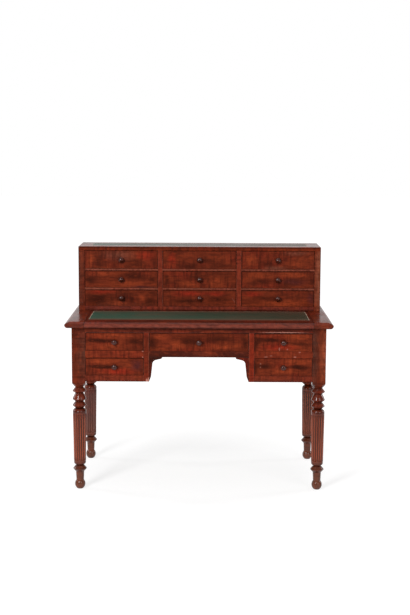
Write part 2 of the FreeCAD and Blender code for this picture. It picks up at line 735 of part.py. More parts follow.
def upper_drawers():
    """Nine small drawers in three rows of three."""
    rows = {
        "top": (TOP_ROW_SILL, UPPER_TOP_UNDER),
        "middle": (MIDDLE_ROW_SILL, MIDDLE_ROW_HEAD),
        "bottom": (BOTTOM_ROW_SILL, BOTTOM_ROW_HEAD),
    }
    for row, z in rows.items():
        for column, x in upper_columns().items():
            label = f"upper_drawer_{row}_{column}"
            group(label, drawer_boards(x, z, UPPER_FRONT, "upper_drawer_depth",
                                       "small_front", "small_side", "small_bottom"))
            knob(f"{label}_knob", middle(x), UPPER_FRONT, middle(z))


def check_document():
    """Stop if any item failed or any sub-part is empty or broken."""
    for item in document.Objects:
        if "Invalid" in item.State or "Error" in item.State:
            raise RuntimeError(f"{item.Label} failed: {item.State}")
    for item in sub_parts:
        if item.Shape.isNull() or not item.Shape.isValid() or not item.Shape.Solids:
            raise RuntimeError(f"{item.Label} has no sound solid")


def write_parts():
    """Write each sub-part to a file of its own name."""
    os.makedirs("parts", exist_ok=True)
    for item in sub_parts:
        item.Shape.exportStep(f"parts/{item.Label}.step")
        print(f"{item.Label}: {len(item.Shape.Solids)} solids, {item.Shape.Volume:.0f} cubic millimetres")


sheet = make_sheet()
legs()
front_frame()
kneehole_brackets()
table_panels()
drawer_runners()
top_side_boards()
top_rear_board()
writing_slide()
upper_case()
upper_top()
leathers()
table_drawers()
upper_drawers()
document.recompute()
check_document()
write_parts()
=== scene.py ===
"""Looks of the stepped desk: polished mahogany, worn leather, soft studio light, the photograph's camera.

Metres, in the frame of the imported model: +Z up, the front of the desk faces -Y.
"""
import math
from collections import namedtuple

import bmesh
import bpy
from mathutils import Matrix, Vector


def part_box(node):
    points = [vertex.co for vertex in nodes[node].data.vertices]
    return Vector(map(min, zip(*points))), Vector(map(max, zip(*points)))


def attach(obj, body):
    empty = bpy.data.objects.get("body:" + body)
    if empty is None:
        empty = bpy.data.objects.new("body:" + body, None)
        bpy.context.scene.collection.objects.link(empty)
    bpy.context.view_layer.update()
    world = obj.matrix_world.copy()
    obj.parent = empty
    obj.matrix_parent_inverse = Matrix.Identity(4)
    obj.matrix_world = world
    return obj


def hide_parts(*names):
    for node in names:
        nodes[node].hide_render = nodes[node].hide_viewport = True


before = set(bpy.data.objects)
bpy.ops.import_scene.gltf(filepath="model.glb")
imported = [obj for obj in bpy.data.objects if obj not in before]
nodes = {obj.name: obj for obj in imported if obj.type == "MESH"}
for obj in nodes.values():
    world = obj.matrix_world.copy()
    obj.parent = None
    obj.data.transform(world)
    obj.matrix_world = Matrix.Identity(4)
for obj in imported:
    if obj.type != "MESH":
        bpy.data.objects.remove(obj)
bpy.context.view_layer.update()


def tone(red, green, blue):
    """A screen colour, from 0 to 255, as the light values that a shader takes."""
    def light(level):
        share = level / 255
        return share / 12.92 if share <= 0.04045 else ((share + 0.055) / 1.055) ** 2.4
    return (light(red), light(green), light(blue), 1.0)


# Colours of the woods
MAHOGANY = tone(107, 40, 21)
AMBER = tone(143, 57, 29)
RED = tone(142, 38, 21)
DARK = tone(53, 17, 7)
BLOCK = tone(102, 40, 23)
SLIDE = tone(76, 26, 16)
NOSING = tone(126, 56, 40)
KNOB = tone(56, 19, 10)
OAK = tone(150, 112, 74)
OAK_DARK = tone(104, 72, 44)

# Colours of wear and dirt on the woods, and of the painted highlights on them
SMOKE = tone(118, 66, 50)
GREY_BROWN = tone(80, 46, 36)
PLUM = tone(72, 30, 30)
PALE = tone(190, 150, 134)
PLUM_HIGHLIGHT = tone(144, 98, 86)
SANDY = tone(174, 100, 74)
TAN_BROWN = tone(178, 90, 60)
TAWNY = tone(140, 76, 54)
CHIPPED = tone(190, 134, 118)
DUSTY = tone(106, 94, 70)

# Colours of the leathers and their tooled line
GREEN = tone(42, 84, 68)
OLIVE = tone(47, 58, 44)
UMBER = tone(70, 58, 42)
BRONZE = tone(104, 80, 62)
TOOLED = tone(190, 168, 146)

# Tones of the studio
WHITE = (1.0, 1.0, 1.0, 1.0)
PAPER = (0.75, 0.75, 0.75, 1.0)
LIFTED_PAPER = (0.35, 0.35, 0.35, 1.0)

# The photograph's camera
IMAGE_WIDTH = 410
IMAGE_HEIGHT = 615
FOCAL_PIXELS = 1260.7
SENSOR = 36.0
CAMERA_PLACE = Vector((0.026, -5.768, 1.580))
CAMERA_PITCH = math.radians(7.84)
CAMERA_ROLL = math.radians(0.26)

# Height and radius at the two ends of a leg's tapered shaft, and the height of the ring under it
SHAFT_FOOT = (0.120, 0.0265)
SHAFT_HEAD = (0.352, 0.0300)
RING_HEIGHT = 0.0925

# Middle heights of the drawer stacks, the upper case and the moulding at the front of the top
TABLE_MIDDLE = 0.62
UPPER_MIDDLE = 0.92
NOSING_MIDDLE = 0.746

# Thickness of a small drawer's front, and a hair more
SMALL_FRONT = 0.0161

# Eased edges of the boards: width, how near points are joined first, and how sharp an edge has to be
EASED_EDGE = 0.0010
WELD_REACH = 0.00002
SHARP_ANGLE = math.radians(60)

# How far a face of the upper ends has to point along X to count as their side
SIDE_FACING = 0.9

# Legs: how far the painted shade in the hollows feels a hollow's walls, the depth of a flute, and the height
# that dust reaches
HOLLOW_REACH = 0.020
FLUTE_DEPTH = 0.0040
DUST_HEIGHT = 0.30

# How far the dark line on the edge of the upper top lies under its surface
LIP_DROP = 0.005

# Leathers: eased edge, reach of the tooled line, browner bands along the long edges, wear of the line along
# the front, the groove inside the line, and which bands between the rings of a sheet carry the line
LEATHER_EASE = 0.0004
LEATHER_LINE = 0.0030
LEATHER_BAND = 0.055
LINE_WEAR = 0.025
GROOVE_WIDTH = 0.0012
GROOVE_DEPTH = 0.0004
TOOLED_BANDS = (1, 2)

# Seeds: how far one moves a noise along each axis, the first ones of the fronts, boards, legs and chips
# of boards, and the step from one wood to the next
SEED_SHIFT = (3.7, 1.9, 2.3)
FRONT_SEED = 50
BOARD_SEED = 200
LEG_SEED = 400
CHIP_SEED = 80
SEED_STEP = 7

Grain = namedtuple("Grain", "figure mottle ripple streaks pores clouds")
Mark = namedtuple("Mark", "shade centre reach strength")
Chip = namedtuple("Chip", "centre reach strength")
Finish = namedtuple("Finish", "dullness shine aged fade")
Lamp = namedtuple("Lamp", "name place width height power")


class Tree:
    """A node tree and short ways to add to it."""

    def __init__(self, tree):
        self.tree = tree

    def add(self, kind, values=None, **settings):
        """A node with its settings, and its inputs linked to a socket or set to a value."""
        item = self.tree.nodes.new(kind)
        for name, setting in settings.items():
            setattr(item, name, setting)
        for name, value in (values or {}).items():
            self.feed(item.inputs[name], value)
        return item

    def feed(self, socket, value):
        """Link a socket to another one, or set its value."""
        if isinstance(value, bpy.types.NodeSocket):
            self.tree.links.new(value, socket)
        else:
            socket.default_value = value

    def ramp(self, value, low, high, start=0.0, end=1.0):
        """A value spread from one range to another, and held at its ends."""
        values = {"Value": value, "From Min": low, "From Max": high, "To Min": start, "To Max": end}
        return self.add("ShaderNodeMapRange", values).outputs[0]

    def reckon(self, operation, first, second=0.0):
        """The result of arithmetic on one or two values."""
        return self.add("ShaderNodeMath", {0: first, 1: second}, operation=operation).outputs[0]

    def reckon_vectors(self, operation, *vectors):
        """The outputs of arithmetic on vectors."""
        return self.add("ShaderNodeVectorMath", dict(enumerate(vectors)), operation=operation).outputs


class Paint(Tree):
    """A material and the patterns that colour it."""

    def __init__(self, name):
        self.material = bpy.data.materials.new(name)
        self.material.use_nodes = True
        super().__init__(self.material.node_tree)
        self.surface = self.tree.nodes["Principled BSDF"]
        self.place = self.add("ShaderNodeTexCoord").outputs["Object"]

    def finish(self, **values):
        """Set or link inputs of the surface shader; an underscore in a name stands for a space."""
        for name, value in values.items():
            self.feed(self.surface.inputs[name.replace("_", " ")], value)
        return self.material

    def noise(self, stretch, seed, detail=4.0, twist=0.0):
        """Noise with its own number of cells per metre along each axis."""
        shift = tuple(seed * step for step in SEED_SHIFT)
        mapped = self.add("ShaderNodeMapping", {"Vector": self.place, "Scale": stretch, "Location": shift})
        values = {"Vector": mapped.outputs[0], "Scale": 1.0, "Detail": detail, "Roughness": 0.55,
                  "Distortion": twist}
        return self.add("ShaderNodeTexNoise", values)

    def cloud(self, stretch, seed, detail=4.0, twist=0.0):
        """The value of a noise."""
        return self.noise(stretch, seed, detail, twist).outputs[0]

    def blend(self, share, first, second):
        """Two colours mixed by a share."""
        values = {0: share, 6: first, 7: second}
        return self.add("ShaderNodeMix", values, data_type="RGBA").outputs[2]

    def part(self, axis):
        """One coordinate of the place on the object: X, Y or Z."""
        return self.add("ShaderNodeSeparateXYZ", {0: self.place}).outputs[axis]

    def near(self, axis, level, reach):
        """One on a plane across an axis, fading to nothing at its reach on either side."""
        away = self.reckon("ABSOLUTE", self.reckon("SUBTRACT", self.part(axis), level))
        return self.ramp(away, 0.0, reach, 1.0, 0.0)

    def shaken(self, stretch, seed, reach):
        """The place on the object, shaken by a noise."""
        noise = self.noise(stretch, seed).outputs[1]
        centred = self.reckon_vectors("SUBTRACT", noise, (0.5, 0.5, 0.5))[0]
        return self.reckon_vectors("MULTIPLY_ADD", centred, reach, self.place)[0]

    def spot(self, place, centre, reach):
        """One at a centre on the front, fading to nothing at its reach; depth plays no part."""
        scale = Vector((1 / reach[0], 0, 1 / reach[1]))
        shift = (-centre[0] * scale.x, 0, -centre[1] * scale.z)
        values = {"Vector": place, "Scale": scale, "Location": shift}
        near = self.add("ShaderNodeMapping", values).outputs[0]
        return self.add("ShaderNodeTexGradient", {"Vector": near}, gradient_type="SPHERICAL").outputs[1]

    def bump(self, height, strength, depth):
        """A surface relief from a value."""
        values = {"Height": height, "Strength": strength, "Distance": depth}
        return self.add("ShaderNodeBump", values).outputs[0]


def along(axis, lengthwise, across):
    """Cells per metre for a grain that runs along one axis."""
    return tuple(lengthwise if name == axis else across for name in "XYZ")


def grain(paint, axis, seed):
    """The patterns of one board, from its broad figure to its pores."""
    return Grain(
        figure=paint.cloud(along(axis, 5.0, 26.0), seed, detail=5.0, twist=1.2),
        mottle=paint.cloud(along(axis, 40.0, 100.0), seed + 1, detail=3.0),
        ripple=paint.cloud(along(axis, 90.0, 12.0), seed + 2, detail=2.0),
        streaks=paint.cloud(along(axis, 14.0, 240.0), seed + 3, detail=3.0),
        pores=paint.cloud(along(axis, 70.0, 900.0), seed + 4, detail=2.0),
        clouds=paint.cloud((7.0, 7.0, 11.0), seed + 5, detail=2.0))


def figured(paint, wood, base):
    """The broad colours of a board: dark and amber bands, and red clouds."""
    colour = paint.blend(paint.ramp(wood.figure, 0.32, 0.50, 0.45, 0.0), base, DARK)
    colour = paint.blend(paint.ramp(wood.figure, 0.50, 0.68, 0.0, 0.50), colour, AMBER)
    return paint.blend(paint.ramp(wood.clouds, 0.50, 0.72, 0.0, 0.35), colour, RED)


def marked(paint, wood, colour, marks, seed):
    """Marks of the board's own, with soft and wandering outlines."""
    place = paint.shaken((9.0, 9.0, 30.0), seed, reach=(0.05, 0.0, 0.02))
    for mark in marks:
        strength = paint.ramp(wood.mottle, 0.3, 0.6, 0.9 * mark.strength, 1.7 * mark.strength)
        share = paint.reckon("MULTIPLY", paint.spot(place, mark.centre, mark.reach), strength)
        colour = paint.blend(share, colour, mark.shade)
    return colour


def fine_grain(paint, wood, colour):
    """Mottle, clusters of feathers across the grain, streaks along it and open pores."""
    colour = paint.blend(paint.ramp(wood.mottle, 0.34, 0.52, 0.28, 0.0), colour, DARK)
    colour = paint.blend(paint.ramp(wood.mottle, 0.50, 0.68, 0.0, 0.30), colour, AMBER)
    feathers = paint.ramp(wood.ripple, 0.36, 0.56, 0.60, 0.0)
    clusters = paint.ramp(wood.clouds, 0.38, 0.60, 0.25, 1.0)
    colour = paint.blend(paint.reckon("MULTIPLY", feathers, clusters), colour, DARK)
    colour = paint.blend(paint.ramp(wood.streaks, 0.38, 0.60, 0.19, 0.0), colour, DARK)
    return paint.blend(paint.ramp(wood.pores, 0.60, 0.72, 0.0, 0.40), colour, DARK)


def mahogany(name, axis, seed, base=MAHOGANY, marks=(), layers=(), gloss=0.75):
    """French-polished mahogany with its grain along one axis, its own marks, and layers of wear, dirt, and
    painted shade and highlight.
    """
    paint = Paint(name)
    wood = grain(paint, axis, seed)
    colour = figured(paint, wood, base)
    if marks:
        colour = marked(paint, wood, colour, marks, seed)
    colour = fine_grain(paint, wood, colour)
    for layer in layers:
        colour = layer(paint, wood, colour)
    return paint.finish(
        Base_Color=colour,
        Roughness=paint.ramp(wood.clouds, 0.3, 0.7, 0.28, 0.40),
        Specular_IOR_Level=0.03,
        Coat_Weight=gloss,
        Coat_Roughness=0.12,
        Normal=paint.bump(wood.pores, strength=0.10, depth=0.0004))


def lines(shade, axis, levels, reach, strength):
    """A layer of lines across one axis, stronger and weaker by turns: worn edges, dirty seams, and painted
    shade and highlight along edges, undersides and gaps.
    """
    def layer(paint, wood, colour):
        patchy = paint.ramp(wood.mottle, 0.38, 0.58, 0.35 * strength, strength)
        for level in levels:
            share = paint.reckon("MULTIPLY", paint.near(axis, level, reach), patchy)
            colour = paint.blend(share, colour, shade)
        return colour
    return layer


def chips(spots, seed):
    """A layer of small pale chips and scratches."""
    def layer(paint, wood, colour):
        place = paint.shaken((160.0, 160.0, 160.0), seed, reach=(0.008, 0.0, 0.006))
        for chip in spots:
            share = paint.ramp(paint.spot(place, chip.centre, chip.reach), 0.05, 0.5, 0.0, chip.strength)
            colour = paint.blend(share, colour, CHIPPED)
        return colour
    return layer


def painted_hollow_shade(paint, wood, colour):
    """Painted shade in the valleys of turned work, darker where ambient occlusion finds them closed in."""
    opened = paint.add("ShaderNodeAmbientOcclusion", {"Distance": HOLLOW_REACH}, only_local=True)
    return paint.blend(paint.ramp(opened.outputs["AO"], 0.45, 0.88, 0.92, 0.0), colour, DARK)


def fluted(centre, ridge_highlight):
    """A layer on the shaft round a leg's axis: painted highlight on the ridges, and painted shade along the
    bottoms of the flutes.
    """
    def layer(paint, wood, colour):
        level = paint.reckon_vectors("MULTIPLY", paint.place, (1.0, 1.0, 0.0))[0]
        away = paint.reckon_vectors("DISTANCE", level, (centre.x, centre.y, 0.0))["Value"]
        radius = paint.ramp(paint.part("Z"), SHAFT_FOOT[0], SHAFT_HEAD[0], SHAFT_FOOT[1], SHAFT_HEAD[1])
        depth = paint.reckon("SUBTRACT", radius, away)
        middle = (SHAFT_FOOT[0] + SHAFT_HEAD[0]) / 2
        on_shaft = paint.ramp(paint.near("Z", middle, SHAFT_HEAD[0] - middle), 0.02, 0.30)
        crest_highlight = paint.ramp(depth, 0.10 * FLUTE_DEPTH, 0.70 * FLUTE_DEPTH, 0.66, 0.24)
        dirt_and_shade = paint.ramp(depth, 0.50 * FLUTE_DEPTH, 0.95 * FLUTE_DEPTH, 0.0, 0.88)
        colour = paint.blend(paint.reckon("MULTIPLY", on_shaft, crest_highlight), colour, ridge_highlight)
        return paint.blend(paint.reckon("MULTIPLY", on_shaft, dirt_and_shade), colour, DARK)
    return layer


def dusty_feet(paint, wood, colour):
    """Paler, yellower wood towards the floor."""
    return paint.blend(paint.ramp(paint.part("Z"), 0.0, DUST_HEIGHT, 0.20, 0.0), colour, DUSTY)


def oak():
    """Bare, aged oak of the drawer boxes and the hidden boards."""
    paint = Paint("oak")
    rings = paint.cloud((3.0, 9.0, 60.0), seed=11, detail=5.0, twist=0.8)
    pores = paint.cloud((30.0, 45.0, 700.0), seed=12, detail=2.0)
    dust = paint.cloud((9.0, 9.0, 9.0), seed=13, detail=3.0)
    colour = paint.blend(paint.ramp(rings, 0.35, 0.65), OAK_DARK, OAK)
    colour = paint.blend(paint.ramp(pores, 0.55, 0.70, 0.0, 0.6), colour, OAK_DARK)
    colour = paint.blend(paint.ramp(dust, 0.45, 0.75, 0.0, 0.5), colour, OAK_DARK)
    return paint.finish(
        Base_Color=colour,
        Roughness=paint.ramp(rings, 0.3, 0.7, 0.62, 0.82),
        Specular_IOR_Level=0.25,
        Normal=paint.bump(pores, strength=0.3, depth=0.0005))


def knob_wood():
    """Dark turned mahogany, polished and worn a little."""
    paint = Paint("knob_wood")
    turning = paint.cloud((160.0, 40.0, 160.0), seed=21)
    wear = paint.cloud((90.0, 90.0, 90.0), seed=22, detail=2.0)
    colour = paint.blend(paint.ramp(turning, 0.40, 0.7, 0.0, 0.4), KNOB, MAHOGANY)
    colour = paint.blend(paint.ramp(wear, 0.45, 0.7, 0.0, 0.8), colour, KNOB)
    return paint.finish(
        Base_Color=colour,
        Roughness=paint.ramp(wear, 0.3, 0.7, 0.26, 0.36),
        Specular_IOR_Level=0.08,
        Coat_Weight=0.62,
        Coat_Roughness=0.09,
        Normal=paint.bump(turning, strength=0.06, depth=0.0004))


def leather(node, finish):
    """Green leather, changing colour from left to right and browner in bands along its long edges, with a
    fine grain.
    """
    paint = Paint(f"{node}_skin")
    low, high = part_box(node)
    skin = paint.add("ShaderNodeTexVoronoi", {"Vector": paint.place, "Scale": 620.0}).outputs[0]
    folds = paint.cloud((60.0, 60.0, 60.0), seed=31, detail=5.0)
    patchy = paint.cloud((4.0, 7.0, 4.0), seed=32)
    colour = paint.blend(paint.ramp(paint.part("X"), *finish.fade), GREEN, finish.aged)
    colour = paint.blend(paint.ramp(patchy, 0.50, 0.75, 0.0, 0.3), colour, SMOKE)
    for level in (low.y, high.y):
        band = paint.ramp(paint.near("Y", level, LEATHER_BAND), 0.0, 1.0, 0.0, 0.7)
        colour = paint.blend(band, colour, BRONZE)
    colour = paint.blend(paint.ramp(skin, 0.0, 0.6, 0.25, 0.0), colour, DARK)
    return paint.finish(
        Base_Color=colour,
        Roughness=paint.ramp(patchy, 0.3, 0.7, finish.dullness, 1.4 * finish.dullness),
        Specular_IOR_Level=finish.shine,
        Normal=paint.bump(paint.reckon("MULTIPLY", skin, folds), strength=0.14, depth=0.0005))


def tooled_line():
    """The pale tooled line at the edge of the leather, rubbed away here and there and along the front."""
    paint = Paint("tooled_line")
    patchy = paint.cloud((40.0, 40.0, 40.0), seed=41)
    colour = paint.blend(paint.ramp(patchy, 0.50, 0.70, 0.0, 0.8), TOOLED, OLIVE)
    worn = paint.near("Y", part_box("writing_leather")[0].y, LINE_WEAR)
    colour = paint.blend(paint.ramp(worn, 0.0, 0.8, 0.0, 0.85), colour, GREY_BROWN)
    return paint.finish(
        Base_Color=colour,
        Roughness=paint.ramp(patchy, 0.3, 0.7, 0.35, 0.6),
        Normal=paint.bump(patchy, strength=0.2, depth=0.0004))


# Marks in the veneer of each drawer front: colour, place and reach as shares of its half width and
# half height, and strength
FRONT_MARKS = {
    "upper_drawer_top_left": (
        (AMBER, -0.86, 0.00, 0.12, 1.0, 0.8), (DARK, -0.60, -0.60, 0.22, 0.8, 0.5),
        (SMOKE, -0.10, 0.50, 0.60, 0.8, 0.6), (RED, 0.70, 0.50, 0.35, 0.7, 0.7),
        (DARK, 0.30, -0.10, 0.25, 0.4, 0.4)),
    "upper_drawer_top_centre": (
        (RED, -0.75, 0.10, 0.14, 0.9, 0.7), (DARK, -0.35, -0.70, 0.40, 0.5, 0.6),
        (DARK, 0.20, 0.00, 0.30, 0.5, 0.6), (AMBER, 0.55, 0.30, 0.40, 0.5, 0.5)),
    "upper_drawer_top_right": (
        (AMBER, -0.75, 0.10, 0.22, 0.8, 0.8), (DARK, -0.35, -0.40, 0.25, 0.5, 0.6),
        (SMOKE, -0.10, -0.90, 0.40, 0.4, 0.7), (AMBER, 0.55, -0.20, 0.35, 0.6, 0.5),
        (SMOKE, 0.50, 0.80, 0.50, 0.4, 0.5)),
    "upper_drawer_middle_left": (
        (DARK, -0.86, -0.10, 0.20, 0.6, 0.8), (AMBER, 0.20, -0.60, 0.60, 0.5, 0.6),
        (DARK, 0.35, 0.35, 0.60, 0.6, 0.6),
        (PLUM, 0.60, -0.95, 0.45, 0.3, 0.8), (DARK, 0.88, 0.05, 0.14, 0.6, 0.6),
        (AMBER, -0.55, 0.65, 0.40, 0.4, 0.6)),
    "upper_drawer_middle_centre": (
        (DARK, -0.90, 0.00, 0.10, 1.0, 0.6), (AMBER, -0.30, -0.50, 0.45, 0.6, 0.9),
        (AMBER, 0.45, -0.30, 0.35, 0.9, 0.7), (DARK, -0.10, 0.30, 0.40, 0.5, 0.5)),
    "upper_drawer_middle_right": (
        (AMBER, -0.50, 0.60, 0.50, 0.5, 1.0), (DARK, -0.40, -0.20, 0.30, 0.4, 0.6),
        (PLUM, 0.45, -0.20, 0.45, 0.5, 0.6), (AMBER, 0.45, 0.65, 0.55, 0.5, 1.0),
        (DARK, 0.97, -0.20, 0.10, 0.9, 0.5)),
    "upper_drawer_bottom_left": (
        (DARK, -0.65, -0.15, 0.55, 1.2, 0.9), (RED, -0.55, 0.75, 0.45, 0.4, 0.6),
        (DARK, 0.10, 0.10, 0.50, 0.9, 0.6), (AMBER, -0.10, -0.60, 0.30, 0.4, 0.6),
        (DARK, 0.32, -0.20, 0.10, 0.9, 0.7), (AMBER, 0.62, 0.10, 0.14, 0.7, 0.6),
        (DARK, 0.82, -0.50, 0.22, 0.7, 0.7)),
    "upper_drawer_bottom_centre": (
        (RED, -0.30, 0.60, 0.55, 0.5, 0.8), (DARK, -0.35, -0.35, 0.60, 0.5, 0.8),
        (DARK, 0.50, -0.10, 0.45, 0.4, 0.8), (RED, 0.45, 0.60, 0.40, 0.4, 0.7),
        (PALE, 0.93, -0.20, 0.015, 0.5, 0.12)),
    "upper_drawer_bottom_right": (
        (RED, -0.70, 0.55, 0.35, 0.5, 0.8), (DARK, -0.40, 0.05, 0.45, 0.35, 0.7),
        (AMBER, 0.20, -0.60, 0.70, 0.5, 0.9), (PLUM, 0.92, 0.00, 0.12, 1.2, 0.6)),
    "table_drawer_top_left": (
        (AMBER, -0.10, 0.75, 0.95, 0.45, 0.7), (DARK, -0.50, 0.10, 0.75, 0.36, 1.2),
        (DARK, 0.70, 0.10, 0.45, 0.60, 1.0), (AMBER, -0.20, -0.55, 0.80, 0.45, 0.6),
        (DARK, 0.97, 0.00, 0.16, 1.1, 0.7)),
    "table_drawer_bottom_left": (
        (AMBER, -0.40, 0.65, 0.65, 0.45, 0.9), (DARK, -0.45, 0.00, 0.80, 0.30, 1.2),
        (PLUM, 0.78, 0.15, 0.32, 0.8, 0.9), (RED, 0.10, -0.55, 0.80, 0.45, 0.8)),
    "table_drawer_centre": (
        (AMBER, -0.78, 0.65, 0.24, 0.5, 0.7), (DARK, -0.96, -0.10, 0.16, 1.1, 0.9),
        (DARK, -0.20, 0.15, 0.40, 0.9, 0.7), (AMBER, -0.45, -0.35, 0.18, 0.7, 0.7),
        (DARK, 0.35, 0.40, 0.45, 0.8, 0.7), (AMBER, 0.55, -0.45, 0.45, 0.5, 0.6),
        (DARK, 0.94, -0.10, 0.12, 0.9, 0.7)),
    "table_drawer_top_right": (
        (AMBER, 0.40, 0.65, 0.70, 0.40, 0.9), (DARK, -0.50, 0.25, 0.60, 0.40, 1.1),
        (DARK, 0.60, -0.10, 0.50, 0.30, 0.7), (RED, -0.10, -0.55, 0.80, 0.45, 0.7),
        # The last mark, a dark band along the top edge, is painted shade in the wider gap over this drawer.
        (DARK, -0.97, 0.00, 0.20, 1.2, 0.8), (DARK, 0.00, 1.02, 1.20, 0.14, 1.2)),
    "table_drawer_bottom_right": (
        (DARK, -0.62, 0.10, 0.45, 0.50, 0.9), (AMBER, 0.40, 0.65, 0.60, 0.40, 0.9),
        (DARK, 0.55, 0.05, 0.50, 0.28, 1.1), (AMBER, 0.10, -0.50, 0.70, 0.45, 0.9),
        (DARK, -0.97, 0.00, 0.14, 1.2, 0.8)),
}

# How dark the painted shade in the gaps over and under each drawer is; the upper drawers are alike
UPPER_GAP_SHADE = (0.7, 0.9)
GAP_SHADE = {
    "table_drawer_top_left": (0.9, 1.1),
    "table_drawer_bottom_left": (1.4, 0.8),
    "table_drawer_centre": (1.0, 0.3),
    "table_drawer_top_right": (1.2, 0.2),
    "table_drawer_bottom_right": (0.2, 0.2),
}

# Rails and boards that are darker or paler than the rest: the top rail darker for painted shade under the
# top's overhang, the brackets for painted shade in the kneehole, and the shelves paler partly as a painted
# highlight on their front edges
BOARD_TONES = {
    "top_rail": tone(85, 33, 22),
    "apron_rail": tone(78, 32, 22),
    "side_mid_rails": tone(122, 45, 25),
    "side_bottom_rails": tone(112, 44, 28),
    "upper_shelves": tone(146, 78, 60),
    "upper_base": tone(110, 45, 35),
    "upper_dividers": tone(128, 50, 33),
    "kneehole_stiles": tone(113, 41, 23),
    "kneehole_brackets": tone(50, 22, 15),
}

# Colours of the painted highlight on the ridges between the flutes of each leg
RIDGE_HIGHLIGHTS = {
    "front_left_leg": TAN_BROWN,
    "front_right_leg": TAN_BROWN,
    "back_left_leg": PLUM_HIGHLIGHT,
    "back_right_leg": SANDY,
}

# Pale chips and scratches by node, each with its place and reach as X and Z on the front
CHIPS = {
    "kneehole_stiles": (
        Chip((-0.230, 0.497), (0.006, 0.013), 0.8),
        Chip((-0.222, 0.503), (0.004, 0.012), 0.7)),
    "side_mid_rails": (
        Chip((-0.248, 0.629), (0.005, 0.003), 0.5),
        Chip((-0.248, 0.603), (0.004, 0.003), 0.5),
        Chip((0.445, 0.627), (0.006, 0.004), 0.35),
        Chip((0.424, 0.606), (0.008, 0.004), 0.4),
        Chip((0.296, 0.606), (0.012, 0.003), 0.3),
        Chip((0.318, 0.611), (0.008, 0.003), 0.3)),
    "table_drawer_top_right": (
        Chip((0.355, 0.641), (0.004, 0.009), 0.36),
        Chip((0.390, 0.640), (0.004, 0.005), 0.3)),
    "table_drawer_bottom_right": (
        Chip((0.272, 0.576), (0.004, 0.005), 0.25),
        Chip((0.272, 0.560), (0.003, 0.004), 0.25)),
    "top_rail": (
        Chip((0.370, 0.7160), (0.125, 0.0024), 0.6),),
}

# Boards with their grain along the width of the desk, upright ones, and those of bare oak
LEVEL_BOARDS = (
    "top_rail", "apron_rail", "side_mid_rails", "side_bottom_rails", "upper_shelves", "upper_base")
UPRIGHT_BOARDS = ("kneehole_stiles", "kneehole_brackets", "upper_dividers")
HIDDEN_BOARDS = ("drawer_runners", "dust_board", "pedestal_panels", "table_back", "upper_back_board")

# How dull and shiny each leather is, the colour it turns to towards the right, and where on X that change
# begins and ends
WRITING_FINISH = Finish(dullness=0.36, shine=0.22, aged=OLIVE, fade=(-0.30, 0.42))
UPPER_FINISH = Finish(dullness=0.25, shine=0.03, aged=UMBER, fade=(-0.45, 0.20))

# A tall key lamp to the left of the camera, a broad fill to the right, a faint lamp overhead and a small
# one at each side
LAMPS = (
    Lamp("key", (-2.3, -4.2, 2.6), width=1.2, height=2.4, power=205.0),
    Lamp("fill", (2.6, -4.2, 2.0), width=2.4, height=2.8, power=80.0),
    Lamp("overhead", (0.0, -0.6, 3.8), width=3.0, height=2.0, power=12.0),
    Lamp("left_side", (-3.4, 0.9, 1.5), width=0.5, height=0.9, power=22.0),
    Lamp("right_side", (3.4, 0.9, 1.5), width=0.5, height=0.9, power=22.0),
)
LAMP_TARGET = Vector((0.0, 0.0, 0.7))

# Light of the room before the desk, behind it and as mirrored behind it, and the directions on Y between
# which it changes
FRONT_LEVEL = 0.08
BACK_LEVEL = 0.45
BACK_MIRRORED = 1.0
ROOM_TURN = (-0.6, 0.5)

# The floor's half width, its front and back edges, and how its own light grows away from the desk
FLOOR_HALF = 14.0
FLOOR_FRONT = -1.9
FLOOR_BACK = 26.0
LIFT_REACH = (0.5, 1.4)
LIFT_LEVELS = (0.71, 0.97)


def placed_marks(node, marks):
    """Marks of a front, moved from shares of its size to their places on the desk."""
    low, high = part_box(node)
    middle = (low + high) / 2
    half = (high - low) / 2
    placed = []
    for shade, x, z, width, height, strength in marks:
        centre = (middle.x + x * half.x, middle.z + z * half.z)
        placed.append(Mark(shade, centre, (width * half.x, height * half.z), strength))
    return placed


def dress(names, *materials):
    """Give nodes their materials, in the order of the faces' numbers."""
    for name in names:
        slots = nodes[name].data.materials
        slots.clear()
        for material in materials:
            slots.append(material)


def use_second(name, chosen):
    """Give the chosen faces of a node its second material."""
    for face in nodes[name].data.polygons:
        face.material_index = int(chosen(face))


def ease_edges(names):
    """Round the sharp edges of plain boards a little, as planing and wear leave them."""
    for name in names:
        weld = nodes[name].modifiers.new("weld", "WELD")
        weld.merge_threshold = WELD_REACH
        bevel = nodes[name].modifiers.new("eased", "BEVEL")
        bevel.width = EASED_EDGE
        bevel.segments = 2
        bevel.limit_method = "ANGLE"
        bevel.angle_limit = SHARP_ANGLE
        bevel.use_clamp_overlap = True


def chipped(name, seed):
    """The layer of chips on a node, if it has any."""
    return [chips(CHIPS[name], seed)] if name in CHIPS else []


def gap_shade_round(drawer, low, high):
    """Painted shade in the gaps at the edges of a drawer front; the line over it is the painted shadow of
    the rail or shelf above.
    """
    over, under = GAP_SHADE.get(drawer, UPPER_GAP_SHADE)
    return [
        lines(DARK, "Z", (high.z,), reach=0.005, strength=over),
        lines(DARK, "Z", (low.z,), reach=0.004, strength=under),
        lines(DARK, "X", (low.x, high.x), reach=0.004, strength=0.8)]


def dress_small_drawer(drawer, veneer, secondary):
    """Veneer on the front of a drawer that is one node, and bare oak on its boards behind."""
    dress([drawer], veneer, secondary)
    vertices = nodes[drawer].data.vertices
    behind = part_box(drawer)[0].y + SMALL_FRONT
    use_second(drawer, lambda face: any(vertices[number].co.y > behind for number in face.vertices))


